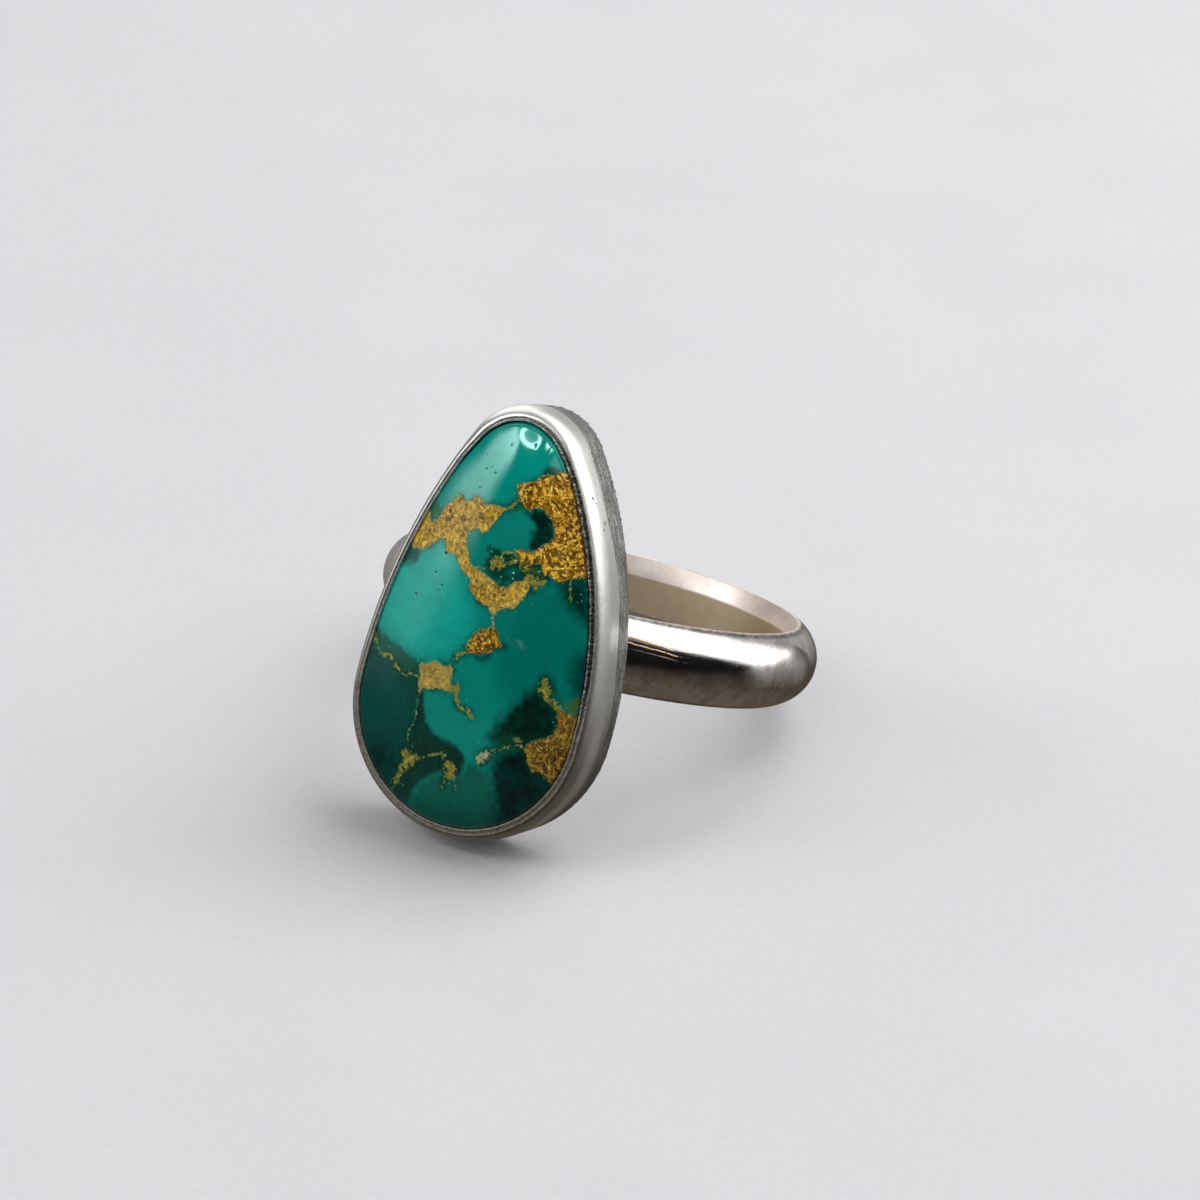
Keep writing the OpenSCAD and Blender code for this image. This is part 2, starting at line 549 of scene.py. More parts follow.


# Patches of matrix, with their outlines, and veins, with x, z and half width at each bend.
# Look: screen colour, how strong the fibres' texture and their painted glints are, and how broken
# the matrix is
OLIVE = (116, 126, 54, 0.34, 1.0)
GREEN = (132, 146, 62, 0.28, 0.5)
PATCHES = outlines("""
upper_left 186 158 72 .6 0: -430 300, -375 450, -340 475, -320 435, -295 430, -265 450, -260 480,
-245 520, -220 545, -195 585, -170 595, -145 575, -120 575, -100 600, -85 612, -60 607, -40 588,
-5 592, 30 602, 75 595, 60 570, 45 545, 33 510, 22 480, 5 464, -15 462, -32 478, -50 472, -68 460,
-80 438, -74 405, -60 382, -52 355, -38 333, -18 312, 5 298, 35 294, 70 285, 95 272, 125 262,
155 250, 183 260, 198 285, 220 298, 245 310, 272 316, 284 295, 278 268, 267 240, 252 210, 240 180,
210 173, 185 166, 168 150, 160 125, 142 118, 125 135, 112 152, 85 150, 60 160, 40 175, 15 190,
0 210, 3 230, -10 250, -35 260, -60 275, -80 295, -98 325, -125 332, -152 322, -168 340, -178 362,
-198 384, -218 380, -235 360, -255 345, -265 322, -295 308, -320 290, -350 295, -372 280, -390 300;
upper_right 134 90 12 1 0: 90 706, 102 722, 125 730, 150 740, 170 753, 182 772, 195 787, 215 792,
235 790, 245 810, 262 822, 285 815, 330 800, 390 680, 460 540, 500 430, 500 390, 465 385, 445 368,
420 355, 395 338, 370 350, 350 362, 330 355, 315 370, 302 395, 285 400, 272 392, 260 375, 235 370,
210 380, 190 395, 180 412, 174 428, 188 442, 202 445, 220 436, 245 442, 266 452, 276 468, 288 484,
302 495, 314 506, 318 530, 312 565, 300 590, 284 606, 268 616, 250 626, 234 642, 212 642, 198 628,
184 615, 168 620, 150 636, 130 650, 114 668, 108 686;
middle 94 68 10 .7 0: 150 62, 162 68, 178 63, 190 48, 196 25, 212 12, 220 -4, 200 -20, 180 -38,
155 -55, 130 -70, 110 -77, 90 -75, 66 -80, 50 -70, 44 -50, 54 -32, 65 -10, 80 12, 94 32, 108 46,
130 50;
square 168 152 84 .35 0: -162 -195, -135 -190, -115 -180, -95 -166, -74 -162, -50 -174, -28 -168,
2 -164, 12 -178, 12 -210, 10 -240, 18 -274, -5 -280, -30 -282, -52 -280, -72 -295, -100 -298,
-120 -300, -130 -332, -142 -330, -144 -304, -154 -292, -152 -268, -156 -240, -160 -215;
lower_right 88 76 40 .35 0: 410 -432, 430 -410, 450 -386, 475 -375, 500 -360, 520 -345, 538 -322,
540 -295, 538 -270, 528 -245, 520 -224, 540 -214, 560 -220, 585 -220, 640 -240, 660 -340, 650 -460,
610 -560, 570 -570, 542 -542, 522 -540, 510 -520, 490 -516, 476 -532, 464 -516, 450 -504, 440 -480,
434 -458, 420 -445;
branch: 430 -95, 452 -92, 464 -118, 484 -136, 492 -160, 506 -180, 530 -192, 550 -210, 540 -234,
516 -224, 496 -206, 476 -200, 460 -184, 440 -172, 422 -160, 428 -136, 430 -116;
beside_arm: 130 342, 152 374, 180 398, 220 382, 262 376, 250 350, 216 356, 186 370, 160 356,
144 330;
small_upper: 72 372, 88 384, 112 388, 138 376, 143 352, 133 332, 120 317, 88 316, 72 332;
below_right: 230 326, 260 344, 295 342, 320 334, 350 334, 330 305, 314 282, 298 272, 284 292,
260 304;
left_rim: -520 -130, -465 -142, -442 -166, -450 -188, -520 -186;
right_of_square: 15 -250, 35 -244, 58 -230, 72 -240, 66 -262, 60 -285, 70 -302, 88 -316, 108 -320,
130 -330, 148 -345, 168 -360, 152 -372, 130 -360, 110 -346, 86 -340, 64 -334, 50 -318, 44 -295,
30 -282, 15 -276;
lower_left: -158 -604, -180 -620, -178 -642, -164 -656, -172 -680, -186 -700, -180 -725, -188 -750,
-208 -768, -212 -790, -200 -815, -186 -798, -174 -770, -164 -740, -148 -714, -128 -694, -108 -674,
-90 -650, -84 -630, -62 -620, -86 -610, -110 -610, -135 -606;
lower_middle: 28 -572, 62 -564, 66 -586, 86 -594, 110 -605, 116 -630, 118 -656, 104 -672, 98 -688,
76 -686, 60 -664, 54 -635, 52 -610, 42 -592;
right_link: 360 -396, 396 -390, 408 -416, 392 -436, 370 -420;
pale 150 166 134 .25 .6: 200 -540, 215 -520, 230 -496, 250 -485, 270 -480, 276 -500, 266 -525,
250 -545, 236 -565, 214 -560
""", OLIVE)
VEINS = outlines("""
left: -442 -180 5, -420 -205 7, -405 -218 9, -378 -224 11, -360 -214 8, -335 -212 10, -315 -226 10,
-295 -246 11, -272 -254 9, -250 -268 6, -228 -274 6, -208 -260 7, -180 -256 7, -158 -262 5;
tail: 60 -82 6, 36 -94 7, 18 -108 12, 8 -126 8;
neck: 150 120 5, 146 102 3.5, 158 80 4, 162 66 5;
upper_link: 75 595 6, 98 612 7, 116 634 6, 126 652 5;
island_foot: 0 300 5, 40 310 4, 75 324 6;
arm_link: 112 386 5, 130 406 6, 162 416 5, 180 424 6;
needle: 438 368 3.5, 448 320 3, 462 275 2.8, 468 250 1;
left_down 60 140 112 .28 .5: -136 -330 2, -138 -370 .6, -135 -405 1, -130 -430 2.5, -140 -470 .6,
-152 -505 .6, -158 -535 3, -150 -570 .6, -155 -605 2;
lower_arch: -62 -618 3, -42 -610 4, -22 -595 4.5, 2 -584 5, 30 -574 7;
right_low: 272 -488 3, 300 -474 3.5, 322 -458 5, 342 -448 5, 368 -436 3.5, 395 -425 4.5, 415 -430 5;
tail_left: 66 -680 3, 62 -710 2, 56 -730 1.5;
tail_right: 110 -660 3, 122 -695 2, 130 -725 2
""", GREEN)
# Spots where the matrix has another tone: x, z, radius, screen colour
MATRIX_SPOTS = table("""
-3.75 3.9 .75 196 158 20, -1.95 4.75 .42 112 88 66, -.25 5.4 .36 108 84 48, -1.7 5.85 .3 112 118 70,
1.5 2.2 .32 104 76 52, .6 1.75 .4 128 92 14, 3.3 7.4 .5 96 58 30, 3.9 5.9 .5 124 84 36,
1.25 6.95 .3 112 84 30, 3.7 4.3 .55 134 116 48, 2.3 4.1 .4 118 104 34, 2.7 6.9 .6 196 138 14,
-.75 -2.25 .4 146 132 72, 4.95 -2.7 .6 176 124 14, 5 -4.3 .6 82 66 38, 6 -4.6 .75 56 40 14,
5.4 -5.3 .35 72 54 18, 4.45 -4.6 .25 168 140 24, 4.9 -2.1 .35 112 104 24, -2.9 4 .3 122 98 74,
-1.2 5 .3 132 104 66
""")
# Ground zones in the order they are laid. Look: screen colour, softness of the border
GROUND_BASE = (8, 134, 118)
GROUND_ZONES = outlines("""
top 0 152 134 .9: -360 520, -200 900, 40 1060, 260 940, 320 760, 80 690, 50 580, -200 580;
left_lobe 22 172 154 .9: -430 240, -290 310, -190 380, -80 300, 20 180, 60 0, -40 -150, -200 -170,
-340 -130, -490 -90, -480 100;
right_middle 0 114 100 .8: 260 240, 360 330, 460 280, 540 200, 620 20, 600 -160, 460 -80, 340 -260,
180 -120, 220 60, 200 160;
lower_middle 18 138 120 .5: -80 -320, 30 -300, 160 -390, 300 -320, 260 -460, 190 -540, 60 -510,
-50 -470;
left_dark 10 66 58 .16: -560 -190, -430 -190, -380 -220, -290 -245, -220 -260, -140 -260, -140 -500,
-160 -640, -190 -860, -340 -860, -600 -600;
left_band 24 82 62 .2: -540 -100, -460 -102, -430 -130, -370 -142, -320 -145, -270 -166, -220 -182,
-160 -190, -150 -260, -220 -270, -290 -245, -370 -220, -430 -195, -540 -190;
left_foot 5 38 33 .7: -460 -660, -360 -610, -240 -620, -180 -690, -190 -900, -440 -860;
bay 17 50 40 .13: -142 -310, -112 -315, -105 -360, -92 -405, -72 -450, -42 -480, 0 -498, 50 -506,
100 -516, 130 -534, 150 -560, 150 -595, 142 -630, 128 -658, 90 -660, 50 -652, 20 -666, -2 -684,
-32 -712, -62 -742, -86 -782, -100 -820, -100 -940, -220 -940, -190 -760, -150 -620, -150 -520,
-135 -430;
bottom_teal 16 92 76 .24: -98 -960, -96 -820, -80 -780, -56 -742, -26 -710, 4 -680, 50 -662,
100 -675, 140 -650, 156 -600, 190 -572, 230 -575, 266 -600, 280 -645, 300 -685, 326 -720, 342 -760,
346 -960;
bottom_shade 9 66 54 .7: -120 -960, -100 -830, 60 -820, 200 -790, 360 -720, 380 -960;
right_dark 7 28 16 .42: 410 -150, 450 -150, 490 -170, 530 -210, 560 -250, 570 -320, 540 -390,
490 -430, 430 -440, 390 -414, 340 -420, 290 -440, 240 -450, 260 -380, 290 -320, 320 -270, 360 -215,
380 -170;
low_right_black 6 22 20 .45: 285 -520, 300 -490, 334 -462, 378 -436, 430 -420, 490 -460, 530 -500,
590 -520, 660 -540, 560 -760, 440 -860, 340 -920, 334 -770, 314 -710, 296 -650, 280 -590;
low_right_rim 9 14 16 .6: 520 -560, 640 -500, 580 -800, 400 -900, 340 -830, 420 -700;
green_link 20 62 28 .3: 280 -410, 340 -390, 410 -400, 430 -430, 360 -450, 280 -475;
island_dark 2 30 18 .16: 176 610, 200 634, 240 636, 290 610, 320 560, 320 500, 290 474, 260 444,
234 450, 222 480, 226 520, 236 548, 216 574, 190 598;
speckled 6 62 44 .2: 40 410, 80 418, 130 406, 175 425, 190 395, 240 375, 275 395, 305 390, 350 365,
370 330, 310 315, 260 320, 200 295, 160 260, 120 275, 70 295, 45 330, 60 370;
speckled_teal 0 98 84 .16: 145 360, 175 366, 210 350, 210 320, 180 308, 150 320;
right_rim_dark 2 40 32 .4: 395 340, 440 370, 500 390, 540 280, 580 180, 530 190, 490 220, 460 250,
420 280;
olive_hem 64 92 36 .18: 250 375, 285 375, 315 355, 325 320, 300 305, 260 315, 240 340;
mottled_link 16 112 74 .2: 85 610, 110 645, 150 660, 175 640, 150 605, 110 595;
left_rim_dark 6 76 70 .22: -440 300, -350 300, -325 285, -310 260, -325 230, -360 210, -440 200;
green_window 30 102 62 .14: -350 510, -300 515, -260 502, -266 470, -295 435, -320 438, -340 475;
tip_green 4 62 38 .13: 180 790, 190 815, 215 830, 245 828, 255 805, 240 785, 210 788;
below_middle 2 78 66 .16: 90 -80, 130 -72, 185 -40, 190 -68, 160 -95, 130 -110, 100 -100;
beside_middle 4 78 56 .16: 198 20, 230 12, 255 -2, 230 -22, 200 -20;
grey_spot 74 138 128 .2: 285 30, 305 45, 320 30, 305 15;
spot_dark 6 30 22 .12: 460 -98, 486 -100, 492 -124, 466 -120;
spot_halo 0 84 72 .3: 415 -80, 470 -70, 500 -110, 540 -170, 530 -195, 490 -160, 420 -160;
right_rim_shade 0 60 54 .5: 540 60, 640 60, 660 -160, 580 -160, 540 -80;
rim_olive 70 96 44 .2: 540 -185, 575 -170, 600 -140, 660 -160, 660 -240, 580 -220
""")
# Single pits and grains: x, z, radius in hundredths of a millimetre
PITS = table("""
2 872 6, -82 738 6, -29 733 5, -56 754 4.5, -108 802 4, 112 898 5, -273 97 7, -194 222 5.5,
-142 176 5.5, -150 150 4, -130 109 4, -290 -60 3.5, 498 -458 8.5, -165 320 8, -210 505 9, -86 650 5,
-30 895 3
""") / 100
GRAINS = table("""
-220 680 10, -200 655 5, -82 690 8, -70 680 6, -86 655 5, -170 615 6, 240 34 6, 262 20 6, -50 -42 5,
6 -70 5, 48 -134 5, 56 -166 6, -278 70 5, 310 220 5
""") / 100
# Painted glints, small light specks on the stone: x, z, radius in hundredths of a millimetre
SPARKS = table("""
300 365 4.2, 142 105 3.6, 160 82 3.6, 185 385 4.8, 195 305 4.2, 140 297 3.6, -130 -430 3.6,
-155 -535 4.2, -150 -670 3.6, 340 -448 5.4, 65 395 4.2, 190 330 4.8, 495 310 3.6, 505 285 3.6,
490 275 3, 520 330 3.6
""") / 100


def to_segments(x, z, start, end):
    """Distance to one segment and how far along it the nearest point lies."""
    span = end[:2] - start[:2]
    t = ((x - start[0]) * span[0] + (z - start[1]) * span[1]) / (span @ span)
    t = np.clip(t, 0, 1)
    return np.hypot(x - start[0] - t * span[0], z - start[1] - t * span[1]), t


def inside_by(x, z, outline):
    """How far points lie inside a closed outline with its corners cut, negative outside it."""
    following = np.roll(outline, -1, axis=0)
    cut = [0.75 * outline + 0.25 * following, 0.25 * outline + 0.75 * following]
    loop = np.stack(cut, 1).reshape(-1, 2)
    nearest = np.full_like(x, 1e9)
    inside = np.zeros(x.shape, bool)
    for start, end in zip(loop, np.roll(loop, -1, axis=0)):
        nearest = np.minimum(nearest, to_segments(x, z, start, end)[0])
        crosses = (start[1] > z) != (end[1] > z)
        rise = end[1] - start[1]
        at = start[0] + (z - start[1]) * (end[0] - start[0]) / (rise if rise else 1e-9)
        inside ^= crosses & (x < at)
    return np.where(inside, nearest, -nearest)


def spots_by(x, z, spots):
    """How far points lie inside the nearest of some round spots."""
    return np.max([size - np.hypot(x - sx, z - sz) for sx, sz, size in spots], axis=0)


def vein_by(x, z, bends):
    """How far points lie inside a vein of changing width."""
    best = np.full_like(x, -1e9)
    for start, end in zip(bends[:-1], bends[1:]):
        distance, t = to_segments(x, z, start, end)
        best = np.maximum(best, start[2] + t * (end[2] - start[2]) - distance)
    return best


def matrix_layers(x, z):
    """How far inside the matrix each point lies, its colour, glitter and how broken it is."""
    layers = [(inside_by(x, z, outline), look) for look, outline in PATCHES]
    layers += [(vein_by(x, z, bends), look) for look, bends in VEINS]
    total = np.zeros((len(x), 6))
    for depth, (*tone, glint, gaps) in layers:
        share = np.exp(np.clip(depth, -3, 0.3) * 12)
        total += share[:, None] * [*srgb(*tone), glint, gaps, 1]
    total /= total[:, 5:]
    colour = total[:, :3]
    for sx, sz, size, *tone in MATRIX_SPOTS:
        share = np.exp(-((x - sx) ** 2 + (z - sz) ** 2) / size ** 2)
        colour += 0.9 * share[:, None] * (srgb(*tone) - colour)
    return np.max([depth for depth, _ in layers], axis=0), colour, total[:, 3], total[:, 4]


def ground_colour(x, z):
    """Colour of the turquoise between the matrix."""
    colour = np.tile(srgb(*GROUND_BASE), (len(x), 1))
    for number, ((*tone, soft), outline) in enumerate(GROUND_ZONES):
        warp = min(soft, 0.22) * 0.35
        wx = x + warp * ripple(x, z, 40 + number, 0.45)
        wz = z + warp * ripple(x, z, 80 + number, 0.45)
        share = ease(-soft, soft, inside_by(wx, wz, outline))
        colour += share[:, None] * (srgb(*tone) - colour)
    return colour


# Stone

STONE_AROUND = 620
STONE_RINGS = 128
RIM_ROUND = 0.08
RIM_DROP = 0.05
# How far the matrix and the pits lie below the polished turquoise
MATRIX_SUNK = 0.006
PITS_SUNK = 0.02


def build_stone():
    outline, outward = egg_points(STONE_AROUND)
    angle = round_the_egg(outline)
    gap = open_gap(angle)
    inset = tip_inset(angle)
    close = (STONE_GAP + inset * 0.9)[:, None] * outward
    rows = [
        at_depth(outline + 0.07 * outward, PLATE_T + STONE_GAP),
        at_depth(outline, 2.6),
        at_depth(outline - 0.02 * outward, 3.05 - 0.03 * gap),
        at_depth(outline - close, 3.2 - 0.04 * gap),
    ]
    rim = outline - (STONE_GAP + 0.004 + 0.025 * gap + inset)[:, None] * outward
    rim_dist = np.linalg.norm(rim - EGG_MID, axis=1)
    evenly = np.linspace(0, 1, STONE_RINGS)[:-1]
    for share in 0.6 * np.sin(evenly * math.pi / 2) + 0.4 * evenly:
        fall = np.clip(1 - share * rim_dist / RIM_ROUND, 0, 1) ** 2
        depth = SETTING_D + DOME_H * (1 - (1 - share) ** DOME_POWER) - RIM_DROP * fall
        rows.append(at_depth(toward_middle(rim, 1 - share), depth))
    points = with_ends(rows, PLATE_T + STONE_GAP, SETTING_D + DOME_H)
    x, z = points[:, 0].copy(), points[:, 2].copy()
    matrix, matrix_tone, glitter, broken = matrix_layers(x, z)
    pits = spots_by(x, z, PITS)
    hollow = MATRIX_SUNK * ease(-0.03, 0.08, matrix) + PITS_SUNK * ease(-0.02, 0.05, pits)
    points[:, 1] += hollow * ease(SETTING_D - 0.1, SETTING_D, BACK_Y - points[:, 1])
    attributes = {
        "chart": np.column_stack([x, z, BACK_Y - points[:, 1]]),
        "matrix": matrix,
        "matrix_tone": matrix_tone,
        "glitter": glitter,
        "broken": broken,
        "sparks": spots_by(x, z, SPARKS),
        "ground": ground_colour(x, z),
        "pits": pits,
        "grains": spots_by(x, z, GRAINS),
    }
    faces = shell_faces(len(rows), STONE_AROUND)
    return make_mesh("turquoise_cabochon", place(points), faces, attributes)


# Materials


def add_node(tree, kind, inputs, output=0, **settings):
    """New node with its inputs set or linked, and one of its outputs as a Value."""
    node = tree.nodes.new(kind)
    for key, value in settings.items():
        setattr(node, key, value)
    for key, value in inputs.items():
        if isinstance(value, Value):
            tree.links.new(value.socket, node.inputs[key])
        else:
            node.inputs[key].default_value = value
    return Value(node.outputs[output]) if node.outputs else None


class Value:
    """Output of a node. Arithmetic and the methods below add nodes that work on it."""

    def __init__(self, socket):
        self.socket = socket

    def node(self, kind, inputs, output=0, **settings):
        return add_node(self.socket.id_data, kind, inputs, output, **settings)

    def math(self, operation, other=0.0):
        return self.node("ShaderNodeMath", {0: self, 1: other}, operation=operation)

    def __add__(self, other):
        return self.math("ADD", other)

    def __sub__(self, other):
        return self.math("SUBTRACT", other)

    def __rsub__(self, number):
        return self.node("ShaderNodeMath", {0: number, 1: self}, operation="SUBTRACT")

    def __mul__(self, other):
        return self.math("MULTIPLY", other)

    def __lt__(self, other):
        return self.math("LESS_THAN", other)

    def stretch(self, *scale):
        return self.node("ShaderNodeVectorMath", {0: self, 1: scale}, operation="MULTIPLY")

    def turn(self, degrees):
        inputs = {"Vector": self, "Angle": math.radians(degrees)}
        return self.node("ShaderNodeVectorRotate", inputs, rotation_type="Z_AXIS")

    def noise(self, scale, detail, roughness, distortion=0.0):
        inputs = {"Vector": self, "Scale": scale, "Detail": detail}
        inputs.update({"Roughness": roughness, "Distortion": distortion})
        return self.node("ShaderNodeTexNoise", inputs, "Fac")

    def cells(self, scale, output="Distance"):
        return self.node("ShaderNodeTexVoronoi", {"Vector": self, "Scale": scale}, output)

    def ramp(self, low, high, start=0.0, end=1.0, kind="SMOOTHSTEP"):
        """From start to end as the value goes from low to high."""
        inputs = {"Value": self, "From Min": low, "From Max": high, "To Min": start, "To Max": end}
        return self.node("ShaderNodeMapRange", inputs, "Result", interpolation_type=kind)

    def bump(self, distance, strength):
        inputs = {"Height": self, "Distance": distance, "Strength": strength}
        return self.node("ShaderNodeBump", inputs, "Normal")


def mix(share, first, second):
    """Colour from first to second, which are Values or linear colours, by a share of 0 to 1."""
    first, second = (v if isinstance(v, Value) else (*v, 1.0) for v in (first, second))
    inputs = {0: share, 6: first, 7: second}
    source = share if isinstance(share, Value) else first
    return source.node("ShaderNodeMix", inputs, 2, data_type="RGBA")


def paint(colour, *layers):
    """Colour with others laid over it, each by its share. Tuples are screen values."""
    for share, over in layers:
        below, above = (v if isinstance(v, Value) else srgb(*v) for v in (colour, over))
        colour = mix(share, below, above)
    return colour


class Surface:
    """Material that reads the values kept at a mesh's points."""

    def __init__(self, name):
        self.material = bpy.data.materials.new(name)
        self.material.use_nodes = True
        self.tree = self.material.node_tree
        self.tree.nodes.clear()

    def read(self, name, output="Fac"):
        return add_node(self.tree, "ShaderNodeAttribute", {}, output, attribute_name=name)

    def finish(self, inputs, kind="ShaderNodeBsdfPrincipled"):
        shader = add_node(self.tree, kind, inputs)
        add_node(self.tree, "ShaderNodeOutputMaterial", {0: shader})
        return self.material


def fibres(chart):
    """Noise of short fibres, in bundles that lie four ways across the stone's face."""
    runs = [
        chart.turn(degrees).stretch(0.3, 1.0, 1.0).noise(8.5, 2.0, 0.6, 0.4)
        for degrees in (24, 118, 70, 163)
    ]
    first = chart.noise(1.5, 1.0, 0.5).ramp(0.46, 0.54)
    second = chart.turn(50).noise(1.9, 1.0, 0.5).ramp(0.46, 0.54)
    one, other = (a + first * (b - a) for a, b in (runs[:2], runs[2:]))
    return one + second * (other - one)


def turquoise_ground(surface, chart, matrix, fine, crumb):
    """Clouded turquoise, darker green close to the matrix and sprinkled with light specks."""
    ragged = (chart.noise(7.0, 3.0, 0.6) - 0.5) * 0.6
    here = chart.noise(0.8, 2.0, 0.5).ramp(0.42, 0.58, 0.2, 0.75)
    size = chart.noise(2.6, 1.0, 0.5).ramp(0.5, 0.7, 0.0, 0.2)
    speck = chart.cells(5.0) < size * matrix.ramp(-0.9, -0.15)
    grains = surface.read("grains") + crumb * 0.12
    return paint(
        surface.read("ground", "Color"),
        (chart.noise(1.3, 3.0, 0.5).ramp(0.35, 0.7, 0.0, 0.18), (0, 92, 84)),
        (fine.ramp(0.45, 0.75, 0.0, 0.05), (20, 180, 160)),
        ((matrix + ragged).ramp(-0.26, -0.02) * here, (4, 56, 36)),
        (speck * 0.6, (104, 210, 176)),
        (grains.ramp(-0.03, 0.03, 0.0, 0.6), (96, 112, 50)),
    )


def matrix_body(surface, chart, depth, grain, fine, fibre):
    """Matrix of dark brown gaps and golden fibres with painted bright glints."""
    tone = surface.read("matrix_tone", "Color")
    glitter = surface.read("glitter")
    facet = chart.cells(6.5, "Color")
    veil = chart.noise(1.7, 3.0, 0.6)
    coarse = glitter.ramp(0.3, 0.6, 0.4, 1.0)
    shade = paint(tone, (0.62, (52, 34, 10)))
    # Painted glints: the brightest fibres and small bright flecks
    painted_hot_glint = fibre.ramp(0.57, 0.62) * fine.ramp(0.48, 0.55) * glitter
    mossy = depth.ramp(0.12, 0.0, 0.0, 0.5) + veil.ramp(0.46, 0.34, 0.0, 0.2)
    painted_fleck_glint = chart.cells(5.2) < fine.ramp(0.48, 0.64, 0.0, 0.26) * glitter
    return paint(
        tone,
        (veil.ramp(0.5, 0.66, 0.0, 0.6), paint(tone, (0.45, (84, 60, 40)))),
        (grain.ramp(0.47, 0.34, 0.0, 0.75) * coarse, shade),
        (facet.ramp(0.42, 0.3, 0.0, 0.7) * coarse, shade),
        (facet.ramp(0.58, 0.7, 0.0, 0.8) * glitter, (232, 180, 56)),
        (fibre.ramp(0.47, 0.38) * glitter * 0.9, (58, 34, 2)),
        (fibre.ramp(0.53, 0.6) * glitter * 0.85, (246, 182, 40)),
        (painted_hot_glint, (255, 236, 140)),
        (mossy, paint(tone, (0.35, (84, 112, 44)))),
        (painted_fleck_glint * 0.9, (255, 242, 180)),
    )


def turquoise():
    surface = Surface("turquoise")
    chart = surface.read("chart", "Vector")
    matrix = surface.read("matrix")
    crumb = chart.noise(5.5, 4.0, 0.65) - 0.5
    grit = chart.noise(18.0, 2.0, 0.6) - 0.5
    fine = chart.noise(11.0, 3.0, 0.6)
    grain = chart.noise(5.0, 3.0, 0.7, 0.6)
    fibre = fibres(chart)
    gaps = chart.noise(4.4, 3.0, 0.65).ramp(0.47, 0.6, 0.0, 0.2) * surface.read("broken")
    depth = matrix + crumb * 0.4 + grit * 0.24 - gaps
    in_matrix = depth.ramp(-0.03, 0.03)
    hole = (surface.read("pits") + grit * 0.05).ramp(-0.012, 0.012)
    # Painted glints at the sparks
    painted_spark_glint = (surface.read("sparks") + grit * 0.08).ramp(-0.015, 0.02, 0.0, 0.8)
    colour = paint(
        turquoise_ground(surface, chart, matrix, fine, crumb),
        (in_matrix, matrix_body(surface, chart, depth, grain, fine, fibre)),
        (hole * 0.9, (12, 18, 12)),
        (painted_spark_glint, (190, 236, 212)),
    )

    # Polish: the matrix takes it less well than the turquoise
    relief = (fibre + grain * 0.8) * in_matrix - hole * 1.2
    faint = chart.noise(2.2, 4.0, 0.7) * 0.5 + relief * 0.5
    return surface.finish({
        "Base Color": colour,
        "Roughness": in_matrix * 0.44 + 0.06,
        "Specular Tint": mix(in_matrix, (0.55, 1.0, 0.94), (0.6, 0.4, 0.06)),
        "IOR": 1.68,
        "Normal": relief.bump(0.00003, 0.5),
        "Coat Weight": 0.18,
        "Coat Roughness": 0.05,
        "Coat IOR": 1.55,
        "Coat Normal": faint.bump(0.00001, 0.3),
    })


def scratches_with_painted_glint(surface, grain):
    """Thin broken scratch lines that run round the band, along which a golden glint is painted."""
    rows = surface.read("across_streaks") * 1.1 + grain.noise(0.9, 1.5, 0.5) * 1.3
    lines = (rows.math("FRACT") - 0.5).math("ABSOLUTE").ramp(0.03, 0.15, 1.0, 0.0)
    return surface.read("streaks") * lines * grain.noise(1.2, 4.0, 0.7).ramp(0.39, 0.5)


def silver_band_finish():
    """Polished silver, brownish inside, with a painted dark reflection along its scuffed outer
    edges and a painted golden glint in some scratches.
    """
    surface = Surface("silver_polished")
    grain = surface.read("grain", "Vector")
    inside, bevel, edge, solder = map(surface.read, ("inside", "bevel", "edge", "solder"))
    outside = 1 - inside
    smear = grain.noise(0.55, 4.0, 0.6)
    spots = grain.noise(2.4, 4.0, 0.7)
    scuffs_and_dark_reflection = grain.stretch(4.0, 4.0, 12.0).noise(1.0, 3.0, 0.7)
    scratch_and_painted_glint = scratches_with_painted_glint(surface, grain)
    colour = paint(
        (240, 238, 234),
        (smear.ramp(0.42, 0.7, 0.0, 0.45), (196, 188, 178)),
        (spots.ramp(0.54, 0.68, 0.0, 0.4), (150, 130, 118)),
        (grain.noise(1.0, 2.0, 0.5).ramp(0.5, 0.58, 0.0, 0.35), (176, 150, 136)),
        (inside * (1 - bevel) * 0.85, (206, 186, 148)),
        (bevel * 0.7, (244, 230, 220)),
        # Painted dark reflection along the outer edges, broken up by scuffs
        (edge.ramp(0.5, 0.95) * scuffs_and_dark_reflection.ramp(0.4, 0.6, 0.85, 0.4) * outside, (60, 58, 52)),
        # Painted golden glint of warm light in the scratches beside the setting
        (scratch_and_painted_glint, (232, 164, 60)),
        (solder * 0.3, (170, 164, 154)),
    )
    dull = inside - bevel * 0.45
    rough = smear.ramp(0.3, 0.8, 0.08, 0.18) + dull * 0.3 + edge * 0.12 + solder * 0.12
    rough += spots.ramp(0.58, 0.72, 0.0, 0.12) + bevel * (1 - bevel) + bevel * 0.06
    lines = grain.stretch(0.7, 0.7, 16.0).noise(1.0, 3.0, 0.65)
    hair = grain.stretch(1.6, 1.6, 42.0).noise(1.0, 2.0, 0.6)
    height = lines * 0.6 + hair * 0.4 + grain.noise(9.0, 3.0, 0.7) * 0.3
    height += scuffs_and_dark_reflection * edge * outside * 0.8 + scratch_and_painted_glint * 1.5
    return surface.finish({
        "Base Color": colour,
        "Metallic": dull.ramp(0.0, 1.0, 1.0, 0.75, "LINEAR") * (1 - scratch_and_painted_glint),
        "Roughness": rough,
        "Normal": height.bump(0.000006, 0.5),
    })


